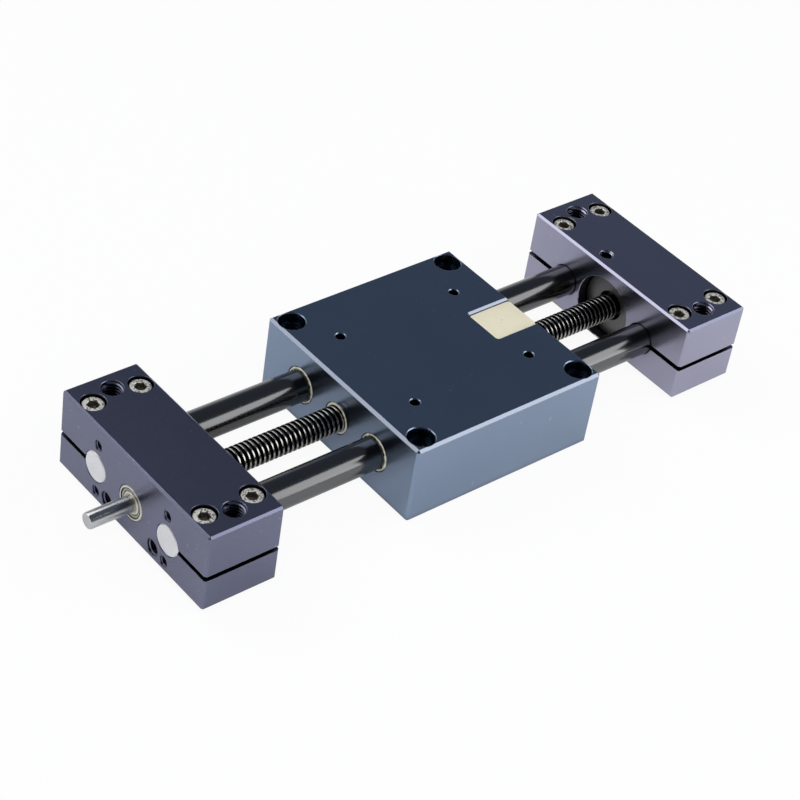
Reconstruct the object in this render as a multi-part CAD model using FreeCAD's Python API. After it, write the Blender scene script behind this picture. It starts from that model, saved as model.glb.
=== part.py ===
import FreeCAD
import Part
import math
import os

# Linear positioning table: a carriage on two guide shafts, driven by a trapezoidal lead screw
# between two split end blocks. Millimetres, X along the screw, Z up. The origin is the middle
# of the carriage's load face, and the table is stored lying on that face.

# Layout
travel = 100.0
rest_offset = 6.25
axis_height = 16.0
shaft_spacing = 42.0
block_standoff = 2.0

# Guide shafts
shaft_diameter = 12.0
shaft_end_chamfer = 0.5

# End blocks
block_length = 30.0
block_width = 85.0
block_height = 32.0
block_chamfer = 0.7
clamp_slit = 2.0
clamp_clearance = 0.02
bore_rim = 0.3

# Clamp screws, in pairs beside each shaft
clamp_screw_pitch = 19.0
clamp_screw_wall = 5.0
clamp_screw_diameter = 5.0
clamp_screw_length = 20.0
clamp_head_diameter = 8.5
clamp_head_height = 5.0
clamp_key = 4.0
clamp_head_sink = 0.9
clamp_counterbore = 9.1
clamp_pass_diameter = 5.5

# Threaded fixing holes, drawn at their major diameter
block_fixing_diameter = 8.0
block_fixing_depth = 12.0
block_fixing_edge = 7.5
flange_hole_diameter = 4.0
flange_hole_depth = 10.0
flange_pitch_across = 40.0
flange_pitch_up = 20.0
foot_hole_diameter = 6.0
foot_hole_depth = 12.0
foot_pitch = 27.0
foot_drop = 9.0
hole_rim = 0.25
drill_point = 0.6

# Lead screw
screw_diameter = 10.0
screw_passage_gap = 0.5
screw_end_chamfer = 0.6
journal_diameter = 6.0
journal_length = 17.0
journal_shoulder_gap = 3.0
relief_width = 0.6
relief_depth = 0.2
tail_land = 1.5

# Ball bearings
drive_bearing_outside = 13.0
drive_bearing_width = 5.0
drive_ball_diameter = 2.0
support_bearing_bore = 7.0
support_bearing_outside = 22.0
support_bearing_width = 7.0
support_ball_diameter = 3.97
balls_in_bearing = 7
ring_land_share = 0.28
ring_chamfer = 0.3
race_clearance = 0.03
seat_clearance = 0.01
shield_thickness = 0.3
shield_inset = 0.2
shield_lap = 0.4
shield_gap = 0.15
cage_wall = 0.7
cage_rim = 0.3
cage_clearance = 0.05

# Circlip behind the support bearing
circlip_thickness = 0.8
circlip_groove_depth = 0.15
circlip_section = 1.1
circlip_gap_width = 3.0
circlip_ear_radius = 0.85
circlip_ear_hole = 0.45
tail_pocket_radius = 6.5
tail_pocket_room = 1.5

# Cover ring over the support bearing, and the grub screw that locks it
cover_diameter = 26.0
cover_thickness = 4.5
cover_recess = 4.3
cover_clearance = 0.05
cover_rim = 0.2
lock_diameter = 5.0
lock_length = 4.0
lock_offset = 8.5
lock_key = 2.5
lock_tip_chamfer = 0.5
lock_wall = 0.3

# Carriage
carriage_length = 85.0
carriage_width = 85.0
carriage_height = 32.0
carriage_chamfer = 0.8
corner_hole_inset = 6.0
corner_counterbore = 10.0
corner_counterbore_depth = 6.0
corner_pass_diameter = 5.5

# Plastic liners on the shafts and round the screw
liner_wall = 1.0
liner_length = 32.0
liner_running_gap = 0.04
liner_slit = 0.8
liner_groove_radius = 0.8
liner_groove_depth = 0.35
liner_grooves = 6
lug_diameter = 3.4
lug_height = 2.2
lug_clearance = 0.1
guide_length = 10.0
press_gap = 0.02

# Nut block in its slot
nut_width = 16.0
nut_length = 19.7
nut_top_drop = 1.0
nut_gap = 0.1
nut_corner = 1.0
nut_edge = 0.4
slot_floor = 5.0
slot_rim = 0.6
slot_corner = 0.8
slot_overrun = 1.0
nut_screw_diameter = 3.0
nut_screw_length = 25.0
nut_screw_pitch = 9.0
nut_screw_drop = 6.0
nut_head_diameter = 5.5
nut_head_height = 3.0
nut_key = 2.5
nut_head_gap = 0.25

# Socket head screws
socket_share = 0.5
head_edge = 0.4
screw_bottom_room = 1.0
socket_overrun = 1.0

# Places that follow from the sizes
shaft_y = shaft_spacing / 2
shaft_radius = shaft_diameter / 2
screw_radius = screw_diameter / 2
carriage_x = carriage_length / 2
drive_inner_x = -carriage_x - travel / 2 - rest_offset
support_inner_x = carriage_x + travel / 2 - rest_offset
drive_outer_x = drive_inner_x - block_length
support_outer_x = support_inner_x + block_length
block_top = block_standoff + block_height
clamp_y = shaft_y + shaft_radius + clamp_screw_wall
clamp_seat_z = block_top - clamp_head_sink - clamp_head_height
bearing_seat_x = support_inner_x + cover_recess + cover_thickness
tail_x = bearing_seat_x + support_bearing_width
lock_x = bearing_seat_x - lock_diameter / 2 - lock_wall
passage_radius = screw_radius + screw_passage_gap
liner_radius = shaft_radius + liner_wall
slot_x = carriage_x - nut_length - 2 * nut_gap
nut_head_seat_x = carriage_x - nut_gap - nut_head_height

V = FreeCAD.Vector
X_AXIS = V(1, 0, 0)
Y_AXIS = V(0, 1, 0)
Z_AXIS = V(0, 0, 1)


def box(x0, x1, y0, y1, z0, z1):
    return Part.makeBox(x1 - x0, y1 - y0, z1 - z0, V(x0, y0, z0))


def rod_x(radius, x0, x1, y=0.0, z=axis_height):
    return Part.makeCylinder(radius, x1 - x0, V(x0, y, z), X_AXIS)


def rod_z(radius, z0, z1, x, y):
    return Part.makeCylinder(radius, z1 - z0, V(x, y, z0), Z_AXIS)


def turned(profile, y=0.0):
    """Turns a closed outline of (x, radius) points about an axis along X at the shafts' height."""
    points = [V(x, y, axis_height + r) for x, r in profile]
    face = Part.Face(Part.makePolygon(points + points[:1]))
    return face.revolve(V(0, y, axis_height), X_AXIS, 360)


def chamfered_tube(inner, outer, x0, x1, chamfer, y=0.0):
    profile = [
        (x0, inner),
        (x0, outer - chamfer),
        (x0 + chamfer, outer),
        (x1 - chamfer, outer),
        (x1, outer - chamfer),
        (x1, inner),
    ]
    return turned(profile, y)


def drilled(mouth, into, radius, depth):
    """A blind hole's tool, with the cone that the drill's point leaves."""
    bore = Part.makeCylinder(radius, depth, mouth, into)
    return bore.fuse(Part.makeCone(radius, 0, drill_point * radius, mouth + into * depth, into))


def countersink(mouth, into, radius):
    return Part.makeCone(radius + hole_rim, radius, hole_rim, mouth, into)


def tapped(mouth, into, radius, depth):
    return drilled(mouth, into, radius, depth).fuse(countersink(mouth, into, radius))


def carved(blank, tools):
    return blank.cut(tools[0].multiFuse(tools[1:]))


def rim_x(radius, x, y, side, rim=bore_rim):
    """The bevel round a bore's end in a face across X. The material lies towards side."""
    return Part.makeCone(radius + rim, radius, rim, V(x, y, axis_height), V(side, 0, 0))


def hexagon(key, z0, z1):
    corner = key / math.sqrt(3)
    points = [V(corner * math.cos(math.radians(a)), corner * math.sin(math.radians(a)), z0)
              for a in range(0, 360, 60)]
    face = Part.Face(Part.makePolygon(points + points[:1]))
    return face.extrude(V(0, 0, z1 - z0))


def placed(shape, seat, outward):
    shape.Placement = FreeCAD.Placement(seat, FreeCAD.Rotation(Z_AXIS, outward))
    return shape


def socket_screw(seat, outward, diameter, length, head_diameter, head_height, key):
    """A socket head screw whose head rests on seat and points outward."""
    head = Part.makeCylinder(head_diameter / 2, head_height)
    crown = [e for e in head.Edges if abs(e.CenterOfMass.z - head_height) < 1e-6]
    head = head.makeChamfer(head_edge, crown)
    head = head.cut(hexagon(key, head_height * (1 - socket_share), head_height + socket_overrun))
    shank = Part.makeCylinder(diameter / 2, length, V(0, 0, -length))
    tip = [e for e in shank.Edges if abs(e.CenterOfMass.z + length) < 1e-6]
    shank = shank.makeChamfer(head_edge, tip)
    return placed(head.fuse(shank), seat, outward)


def grub_screw(seat, diameter, length, key):
    """A headless socket screw standing on seat, with its socket at the top."""
    body = Part.makeCylinder(diameter / 2, length)
    tip = [e for e in body.Edges if abs(e.CenterOfMass.z) < 1e-6]
    body = body.makeChamfer(lock_tip_chamfer, tip)
    body = body.cut(hexagon(key, length * (1 - socket_share), length + socket_overrun))
    return placed(body, seat, Z_AXIS)


def clamp_places(inner_x, outer_x):
    middle = (inner_x + outer_x) / 2
    return [(middle + a * clamp_screw_pitch / 2, b * clamp_y) for a in (-1, 1) for b in (-1, 1)]


def split_block(x0, x1):
    """A block with its shaft bores, clamp slits, clamp screw holes and top fixing holes."""
    blank = box(x0, x1, -block_width / 2, block_width / 2, block_standoff, block_top)
    blank = blank.makeChamfer(block_chamfer, blank.Edges)
    tools = []
    for side in (-1, 1):
        y = side * shaft_y
        radius = shaft_radius + clamp_clearance
        tools += [rod_x(radius, x0, x1, y), rim_x(radius, x0, y, 1), rim_x(radius, x1, y, -1)]
        edge = side * block_width / 2
        tools.append(box(x0, x1, min(y, edge), max(y, edge),
                         axis_height - clamp_slit / 2, axis_height + clamp_slit / 2))
        mouth = V((x0 + x1) / 2, side * (block_width / 2 - block_fixing_edge), block_top)
        tools.append(tapped(mouth, -Z_AXIS, block_fixing_diameter / 2, block_fixing_depth))
    for x, y in clamp_places(x0, x1):
        tools.append(rod_z(clamp_counterbore / 2, clamp_seat_z, block_top, x, y))
        tools.append(rod_z(clamp_pass_diameter / 2, axis_height, clamp_seat_z, x, y))
        depth = clamp_screw_length - (clamp_seat_z - axis_height) + screw_bottom_room
        tools.append(drilled(V(x, y, axis_height), -Z_AXIS, clamp_screw_diameter / 2 + press_gap, depth))
    return carved(blank, tools)


def drive_end_block():
    """The block at the drive end: flush bearing seat, flange holes and foot holes."""
    block = split_block(drive_outer_x, drive_inner_x)
    seat_radius = drive_bearing_outside / 2 + seat_clearance
    tools = [
        rod_x(seat_radius, drive_outer_x, drive_outer_x + drive_bearing_width),
        rod_x(passage_radius, drive_outer_x, drive_inner_x),
        rim_x(passage_radius, drive_inner_x, 0, -1),
    ]
    for side in (-1, 1):
        for up in (-1, 1):
            mouth = V(drive_outer_x, side * flange_pitch_across / 2, axis_height + up * flange_pitch_up / 2)
            tools.append(tapped(mouth, X_AXIS, flange_hole_diameter / 2, flange_hole_depth))
        mouth = V(drive_outer_x, side * foot_pitch / 2, axis_height - foot_drop)
        tools.append(tapped(mouth, X_AXIS, foot_hole_diameter / 2, foot_hole_depth))
    return carved(block, tools)


def support_end_block():
    """The block at the far end: stepped pocket for the cover ring, the bearing and the circlip."""
    block = split_block(support_inner_x, support_outer_x)
    tail_floor = tail_x + circlip_thickness + tail_land + tail_pocket_room
    lock_mouth = V(lock_x, lock_offset, block_top)
    lock_radius = lock_diameter / 2 + press_gap
    tools = [
        rod_x(cover_diameter / 2, support_inner_x, bearing_seat_x),
        rim_x(cover_diameter / 2, support_inner_x, 0, 1, cover_rim),
        rod_x(support_bearing_outside / 2 + seat_clearance, bearing_seat_x, tail_x),
        rod_x(tail_pocket_radius, tail_x, tail_floor),
        Part.makeCylinder(lock_radius, block_top - axis_height, lock_mouth, -Z_AXIS),
        countersink(lock_mouth, -Z_AXIS, lock_radius),
    ]
    return carved(block, tools)


def guide_shaft(side):
    y = side * shaft_y
    return chamfered_tube(0.0, shaft_radius, drive_outer_x, support_outer_x, shaft_end_chamfer, y)


def clamp_screws(inner_x, outer_x):
    return [socket_screw(V(x, y, clamp_seat_z), Z_AXIS, clamp_screw_diameter, clamp_screw_length,
                         clamp_head_diameter, clamp_head_height, clamp_key)
            for x, y in clamp_places(inner_x, outer_x)]


def cover_ring():
    radius = cover_diameter / 2 - cover_clearance
    x0 = support_inner_x + cover_recess
    return chamfered_tube(passage_radius, radius, x0, bearing_seat_x, ring_chamfer)


def lock_screw():
    """The grub screw that stands on the cover ring's rim."""
    reach = lock_offset - lock_diameter / 2 + lock_tip_chamfer
    rim_rise = math.sqrt((cover_diameter / 2) ** 2 - reach ** 2)
    seat = V(lock_x, lock_offset, axis_height + rim_rise)
    return grub_screw(seat, lock_diameter, lock_length, lock_key)


def lead_screw():
    """The turned screw: drive journal, threaded length drawn at its crests, and tail journal."""
    journal = journal_diameter / 2
    tail = support_bearing_bore / 2
    tip = drive_outer_x - journal_length
    shoulder = drive_outer_x + drive_bearing_width + journal_shoulder_gap
    groove = tail_x + circlip_thickness
    end = groove + tail_land
    c = screw_end_chamfer
    profile = [
        (tip, 0.0),
        (tip, journal - c),
        (tip + c, journal),
        (drive_outer_x, journal),
        (drive_outer_x, journal - relief_depth),
        (drive_outer_x + relief_width, journal - relief_depth),
        (drive_outer_x + relief_width, journal),
        (shoulder, journal),
        (shoulder, screw_radius - c),
        (shoulder + c, screw_radius),
        (bearing_seat_x - c, screw_radius),
        (bearing_seat_x, screw_radius - c),
        (bearing_seat_x, tail),
        (tail_x, tail),
        (tail_x, tail - circlip_groove_depth),
        (groove, tail - circlip_groove_depth),
        (groove, tail),
        (end - c, tail),
        (end, tail - c),
        (end, 0.0),
    ]
    return turned(profile)


def bearing_parts(x0, bore, outside, width, ball):
    """A shielded ball bearing about the screw's axis, as rings, shields, balls and cage."""
    pitch = (bore + outside) / 4
    middle = x0 + width / 2
    x1 = x0 + width
    land_in = pitch - ring_land_share * ball
    land_out = pitch + ring_land_share * ball
    centre = V(middle, 0, axis_height)
    race = Part.makeTorus(pitch, ball / 2 + race_clearance, centre, X_AXIS)
    seat = land_out + shield_lap
    seat_depth = shield_inset + shield_thickness
    outer = chamfered_tube(land_out, outside / 2, x0, x1, ring_chamfer)
    seats = [rod_x(seat, x0, x0 + seat_depth), rod_x(seat, x1 - seat_depth, x1)]
    outer = outer.cut(race).cut(seats[0]).cut(seats[1])
    inner = chamfered_tube(bore / 2, land_in, x0, x1, ring_chamfer).cut(race)
    shields = []
    for start in (x0 + shield_inset, x1 - seat_depth):
        disc = rod_x(seat, start, start + shield_thickness)
        shields.append(disc.cut(rod_x(land_in + shield_gap, start, start + shield_thickness)))
    half = ball / 2 + cage_rim
    cage = rod_x(pitch + cage_wall / 2, middle - half, middle + half)
    pockets = [rod_x(pitch - cage_wall / 2, middle - half, middle + half)]
    balls = []
    for i in range(balls_in_bearing):
        angle = 2 * math.pi * i / balls_in_bearing
        out = V(0, math.cos(angle), math.sin(angle))
        balls.append(Part.makeSphere(ball / 2, centre + out * pitch))
        pockets.append(Part.makeCylinder(ball / 2 + cage_clearance, outside / 2, centre, out))
    return {"outer_ring": outer, "inner_ring": inner, "shields": shields, "balls": balls,
            "cage": carved(cage, pockets)}


def circlip():
    """The snap ring in the tail journal's groove, open at the top, with two pierced ears."""
    x0, x1 = tail_x, tail_x + circlip_thickness
    inner = support_bearing_bore / 2 - circlip_groove_depth
    outer = inner + circlip_section
    gap = circlip_gap_width / 2
    ring = rod_x(outer, x0, x1)
    ears = []
    holes = [rod_x(inner, x0, x1), box(x0, x1, -gap, gap, axis_height, axis_height + outer)]
    for side in (-1, 1):
        y = side * (gap + circlip_ear_radius)
        z = axis_height + math.sqrt(outer ** 2 - y ** 2) + circlip_ear_radius / 2
        ears.append(rod_x(circlip_ear_radius, x0, x1, y, z))
        holes.append(rod_x(circlip_ear_hole, x0, x1, y, z))
    return carved(ring.multiFuse(ears), holes)


def nut_slot():
    """The slot's tool: open to the top and to one end, with bevelled top edges."""
    half = nut_width / 2 + nut_gap
    past = carriage_x + slot_overrun
    pocket = box(slot_x, past, -half, half, slot_floor, carriage_height)
    corners = [e for e in pocket.Edges
               if abs(e.CenterOfMass.x - slot_x) < 1e-6 and abs(e.CenterOfMass.y) > half - 1e-6]
    pocket = pocket.makeFillet(slot_corner, corners)
    wires = []
    for z, grow in ((carriage_height - slot_rim, 0.0), (carriage_height, slot_rim)):
        a, b = slot_x - grow, half + grow
        ring = [V(a, -b, z), V(past, -b, z), V(past, b, z), V(a, b, z), V(a, -b, z)]
        wires.append(Part.makePolygon(ring))
    return pocket.fuse(Part.makeLoft(wires, True, True))


def nut_screw_places():
    return [(side * nut_screw_pitch / 2, carriage_height - nut_screw_drop) for side in (-1, 1)]


def carriage_block():
    """The carriage plate with its liner bores, screw passage, nut slot and corner holes."""
    blank = box(-carriage_x, carriage_x, -carriage_width / 2, carriage_width / 2, 0, carriage_height)
    blank = blank.makeChamfer(carriage_chamfer, blank.Edges)
    guide_radius = screw_radius + liner_wall + press_gap
    tools = [
        rod_x(guide_radius, -carriage_x, guide_length - carriage_x),
        rim_x(guide_radius, -carriage_x, 0, 1),
        rod_x(passage_radius, -carriage_x, slot_x),
        nut_slot(),
    ]
    for side in (-1, 1):
        y = side * shaft_y
        radius = liner_radius + press_gap
        tools += [rod_x(radius, -carriage_x, carriage_x, y)]
        tools += [rim_x(radius, -carriage_x, y, 1), rim_x(radius, carriage_x, y, -1)]
        for end in (-1, 1):
            x = end * (carriage_x - liner_length / 2)
            lug_hole = lug_diameter / 2 + lug_clearance
            tools.append(rod_z(lug_hole, axis_height + shaft_radius, carriage_height, x, y))
            tools.append(countersink(V(x, y, carriage_height), -Z_AXIS, lug_hole))
            a = end * (carriage_x - corner_hole_inset)
            b = side * (carriage_width / 2 - corner_hole_inset)
            seat = carriage_height - corner_counterbore_depth
            tools.append(rod_z(corner_counterbore / 2, seat, carriage_height, a, b))
            tools.append(countersink(V(a, b, carriage_height), -Z_AXIS, corner_counterbore / 2))
            tools.append(rod_z(corner_pass_diameter / 2, 0, seat, a, b))
            tools.append(countersink(V(a, b, 0), Z_AXIS, corner_pass_diameter / 2))
    for y, z in nut_screw_places():
        depth = nut_screw_length - (nut_head_seat_x - slot_x) + screw_bottom_room
        tools.append(drilled(V(slot_x, y, z), -X_AXIS, nut_screw_diameter / 2 + press_gap, depth))
    return carved(blank, tools)


def shaft_liner(side, end):
    """A plain liner, split along its underside, with dirt grooves and a lug on top."""
    a, b = sorted((end * carriage_x, end * (carriage_x - liner_length)))
    y = side * shaft_y
    inner = shaft_radius + liner_running_gap
    tube = chamfered_tube(inner, liner_radius, a, b, bore_rim, y)
    cuts = [box(a, b, y - liner_slit / 2, y + liner_slit / 2, axis_height - liner_radius, axis_height)]
    reach = inner + liner_groove_depth - liner_groove_radius
    for i in range(liner_grooves):
        angle = 2 * math.pi * (i + 0.5) / liner_grooves
        cuts.append(rod_x(liner_groove_radius, a, b,
                          y + reach * math.cos(angle), axis_height + reach * math.sin(angle)))
    top = axis_height + liner_radius + lug_height
    lug = rod_z(lug_diameter / 2, axis_height, top, (a + b) / 2, y)
    lug = lug.cut(rod_x(shaft_radius + liner_wall / 2, a, b, y))
    return carved(tube, cuts).fuse(lug)


def screw_guide():
    return chamfered_tube(screw_radius + liner_running_gap, screw_radius + liner_wall,
                          -carriage_x, guide_length - carriage_x, bore_rim)


def lead_screw_nut():
    """The moulded nut block, bored for the screw and counterbored for its two screws."""
    x1 = carriage_x - nut_gap
    half = nut_width / 2
    top = carriage_height - nut_top_drop
    block = box(x1 - nut_length, x1, -half, half, slot_floor + nut_gap, top)
    upright = [e for e in block.Edges if abs(e.tangentAt(e.FirstParameter).z) > 0.9]
    block = block.makeFillet(nut_corner, upright)
    crown = [e for e in block.Edges if abs(e.CenterOfMass.z - top) < 1e-6]
    block = block.makeChamfer(nut_edge, crown)
    tools = [rod_x(screw_radius + liner_running_gap, x1 - nut_length, x1), rim_x(screw_radius, x1, 0, -1)]
    for y, z in nut_screw_places():
        tools.append(rod_x(nut_screw_diameter / 2 + nut_gap, x1 - nut_length, x1, y, z))
        tools.append(rod_x(nut_head_diameter / 2 + nut_head_gap, nut_head_seat_x, x1, y, z))
    return carved(block, tools)


def nut_screws():
    return [socket_screw(V(nut_head_seat_x, y, z), X_AXIS, nut_screw_diameter, nut_screw_length,
                         nut_head_diameter, nut_head_height, nut_key)
            for y, z in nut_screw_places()]


def all_pieces():
    pieces = {
        "drive_end_block": drive_end_block(),
        "support_end_block": support_end_block(),
        "guide_shaft_left": guide_shaft(1),
        "guide_shaft_right": guide_shaft(-1),
        "drive_end_clamp_screws": clamp_screws(drive_inner_x, drive_outer_x),
        "support_end_clamp_screws": clamp_screws(support_inner_x, support_outer_x),
        "bearing_cover_ring": cover_ring(),
        "cover_lock_screw": lock_screw(),
        "lead_screw": lead_screw(),
        "screw_circlip": circlip(),
        "carriage_block": carriage_block(),
        "screw_guide_liner": screw_guide(),
        "lead_screw_nut": lead_screw_nut(),
        "nut_screws": nut_screws(),
    }
    for side, side_name in ((1, "left"), (-1, "right")):
        for end, end_name in ((-1, "drive"), (1, "support")):
            pieces[f"shaft_liner_{side_name}_{end_name}"] = shaft_liner(side, end)
    drive = bearing_parts(drive_outer_x, journal_diameter, drive_bearing_outside,
                          drive_bearing_width, drive_ball_diameter)
    support = bearing_parts(bearing_seat_x, support_bearing_bore, support_bearing_outside,
                            support_bearing_width, support_ball_diameter)
    for end_name, bearing in (("drive", drive), ("support", support)):
        for part_name, shape in bearing.items():
            pieces[f"{end_name}_bearing_{part_name}"] = shape
    return pieces


os.makedirs("parts", exist_ok=True)
for node, shape in all_pieces().items():
    solids = shape if isinstance(shape, list) else shape.Solids
    result = Part.makeCompound(solids) if len(solids) > 1 else solids[0]
    result.exportStep(f"parts/{node}.step")
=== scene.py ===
import math

import bmesh
import bpy
from mathutils import Matrix, Vector


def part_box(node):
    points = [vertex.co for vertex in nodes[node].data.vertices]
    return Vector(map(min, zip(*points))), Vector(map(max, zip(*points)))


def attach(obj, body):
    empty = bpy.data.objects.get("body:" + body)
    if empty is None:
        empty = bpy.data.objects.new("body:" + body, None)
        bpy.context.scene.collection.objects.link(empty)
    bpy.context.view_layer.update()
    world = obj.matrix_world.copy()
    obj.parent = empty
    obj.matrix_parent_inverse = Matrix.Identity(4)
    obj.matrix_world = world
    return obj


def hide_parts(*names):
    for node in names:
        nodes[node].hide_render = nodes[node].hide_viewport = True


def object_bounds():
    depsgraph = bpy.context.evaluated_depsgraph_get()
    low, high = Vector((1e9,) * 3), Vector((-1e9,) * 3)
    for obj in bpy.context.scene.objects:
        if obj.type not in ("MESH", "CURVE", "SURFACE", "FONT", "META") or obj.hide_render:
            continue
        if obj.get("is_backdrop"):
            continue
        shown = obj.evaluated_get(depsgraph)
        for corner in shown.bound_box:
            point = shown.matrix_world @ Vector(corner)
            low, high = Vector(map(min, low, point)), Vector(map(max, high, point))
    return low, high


# A linear positioning table on twin guide shafts, dressed piece by piece in the order in which
# it is put together. Metres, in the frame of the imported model.
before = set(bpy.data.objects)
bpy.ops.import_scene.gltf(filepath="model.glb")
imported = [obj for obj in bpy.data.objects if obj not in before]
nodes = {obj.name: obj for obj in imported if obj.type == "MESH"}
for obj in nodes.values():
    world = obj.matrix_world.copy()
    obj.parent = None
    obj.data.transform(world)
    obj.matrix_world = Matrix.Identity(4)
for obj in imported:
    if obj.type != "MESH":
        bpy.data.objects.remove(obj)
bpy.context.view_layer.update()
bpy.ops.object.select_all(action="DESELECT")

# The two end blocks. Each is sawn and milled from aluminium bar, bored for the shafts, split by a
# clamp slit from each side and tapped, then anodised clear, which leaves a violet cast. The drive
# block has a flush bearing seat, the other one a deep pocket that a cover ring closes.
drive_low, drive_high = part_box("drive_end_block")
support_low, support_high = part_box("support_end_block")
shaft_low, shaft_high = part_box("guide_shaft_left")
screw_low, screw_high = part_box("lead_screw")
clamp_screw_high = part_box("drive_end_clamp_screws")[1]
axis_z = (shaft_low.z + shaft_high.z) / 2
on_axis = (0, 0, axis_z)
shaft_y = (shaft_low.y + shaft_high.y) / 2
shaft_radius = (shaft_high.z - shaft_low.z) / 2
screw_radius = (screw_high.z - screw_low.z) / 2
passage_radius = screw_radius + 0.0005
edge_bevel = 0.0008
hole_rim = 0.0003
fine_rim = 0.0002
overrun = 0.001
hair = 0.0001
clamp_slit = 0.002
clamp_pitch = 0.019
clamp_head_radius = 0.00425
clamp_head_height = 0.005
clamp_y = clamp_screw_high.y - clamp_head_radius
clamp_seat = clamp_screw_high.z - clamp_head_height
clamp_counterbore_radius = 0.00455
clamp_counterbore_rim = 0.0001
clamp_drill_radius = 0.00275
clamp_drill_floor = 0.007
fixing_inset = 0.0075
fixing_thread = {"radius": 0.004, "pitch": 0.00125, "depth": 0.012, "first_turn": 0.0009, "rim": fine_rim}


def pick(kind, test):
    """Selects only those faces, edges or corners of the edited mesh whose middle passes the test."""
    bpy.ops.mesh.select_mode(type=kind)
    bpy.ops.mesh.select_all(action="DESELECT")
    mesh = bmesh.from_edit_mesh(bpy.context.edit_object.data)
    parts = {"VERT": mesh.verts, "EDGE": mesh.edges, "FACE": mesh.faces}[kind]
    for part in parts:
        points = [part.co] if kind == "VERT" else [corner.co for corner in part.verts]
        if test(sum(points, Vector()) / len(points)):
            part.select_set(True)
    mesh.select_flush_mode()
    bmesh.update_edit_mesh(bpy.context.edit_object.data)


def close_outwards():
    """Turns every face of the edited mesh outwards and leaves edit mode."""
    bpy.ops.mesh.select_all(action="SELECT")
    bpy.ops.mesh.normals_make_consistent(inside=False)
    bpy.ops.object.mode_set(mode="OBJECT")


def turned(name, axis, centre, rings, sides=96, hollow=False):
    """Turns a piece about an axis along X or Z: a ring of points at each (place, radius), drawn out
    of the last one. A hollow piece's outline comes back to its start."""
    along = Vector((axis == "X", 0, axis == "Z"))
    across = Vector((1, 1, 1)) - along
    foot = Vector(centre) * across
    place, radius = rings[0]
    bpy.ops.object.select_all(action="DESELECT")
    bpy.ops.mesh.primitive_circle_add(vertices=sides, radius=radius,
                                      rotation=(0, math.pi / 2 if axis == "X" else 0, 0),
                                      fill_type="NOTHING" if hollow else "NGON",
                                      location=foot + along * place)
    piece = bpy.context.object
    piece.name = name
    bpy.ops.object.transform_apply()
    bpy.ops.object.mode_set(mode="EDIT")
    bpy.ops.mesh.select_all(action="SELECT")
    for next_place, next_radius in rings[1:]:
        step = along * (next_place - place)
        bpy.ops.mesh.extrude_region_move(TRANSFORM_OT_translate={"value": step})
        bpy.ops.transform.resize(value=along + across * (next_radius / radius),
                                 center_override=foot + along * next_place)
        place, radius = next_place, next_radius
    if hollow:
        bpy.ops.mesh.select_non_manifold()
        bpy.ops.mesh.bridge_edge_loops()
    close_outwards()
    return piece


def hole(axis, centre, mouth, into, radius, depth, rim=hole_rim, flat=False):
    """A drill that leaves a bevelled mouth and, unless its end is flat, the cone of its point."""
    rings = [(mouth - into * overrun, radius + rim + overrun),
             (mouth + into * rim, radius),
             (mouth + into * depth, radius)]
    if not flat:
        cone = 0.6 * radius
        rings.append((mouth + into * (depth + cone), radius * 0.02))
    return turned("drill", axis, centre, rings, sides=64)


def shaft_bore(y, low, high, radius):
    """A cutter for a bore along X with both of its mouths bevelled."""
    return turned("bore", "X", (0, y, axis_z), [
        (low.x - overrun, radius + hole_rim + overrun),
        (low.x + hole_rim, radius),
        (high.x - hole_rim, radius),
        (high.x + overrun, radius + hole_rim + overrun),
    ])


def slab(low, high):
    """A plain block between two corners."""
    bpy.ops.object.select_all(action="DESELECT")
    low, high = Vector(low), Vector(high)
    bpy.ops.mesh.primitive_cube_add(size=1, location=(low + high) / 2, scale=high - low)
    bpy.ops.object.transform_apply()
    return bpy.context.object


def alone(piece):
    """Selects one piece and nothing else."""
    bpy.ops.object.select_all(action="DESELECT")
    piece.select_set(True)
    bpy.context.view_layer.objects.active = piece


def cut(piece, tools):
    """Cuts each tool out of a piece and throws the tool away."""
    for tool in tools:
        alone(piece)
        saw = piece.modifiers.new("saw", "BOOLEAN")
        saw.operation = "DIFFERENCE"
        saw.solver = "EXACT"
        saw.object = tool
        bpy.ops.object.modifier_apply(modifier="saw")
        bpy.data.objects.remove(tool)


def joined(pieces):
    """Makes one mesh of several pieces, under the first one's name."""
    alone(pieces[0])
    for piece in pieces:
        piece.select_set(True)
    bpy.ops.object.join()
    return pieces[0]


def finished(piece, material, body, slot, *stood_for, angle=28):
    """Smooths the curved faces, then gives the piece its finish, its body and its nodes."""
    alone(piece)
    bpy.ops.object.shade_smooth_by_angle(angle=math.radians(angle))
    piece.data.materials.clear()
    piece.data.materials.append(material)
    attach(piece, body)
    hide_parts(*stood_for)


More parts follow.
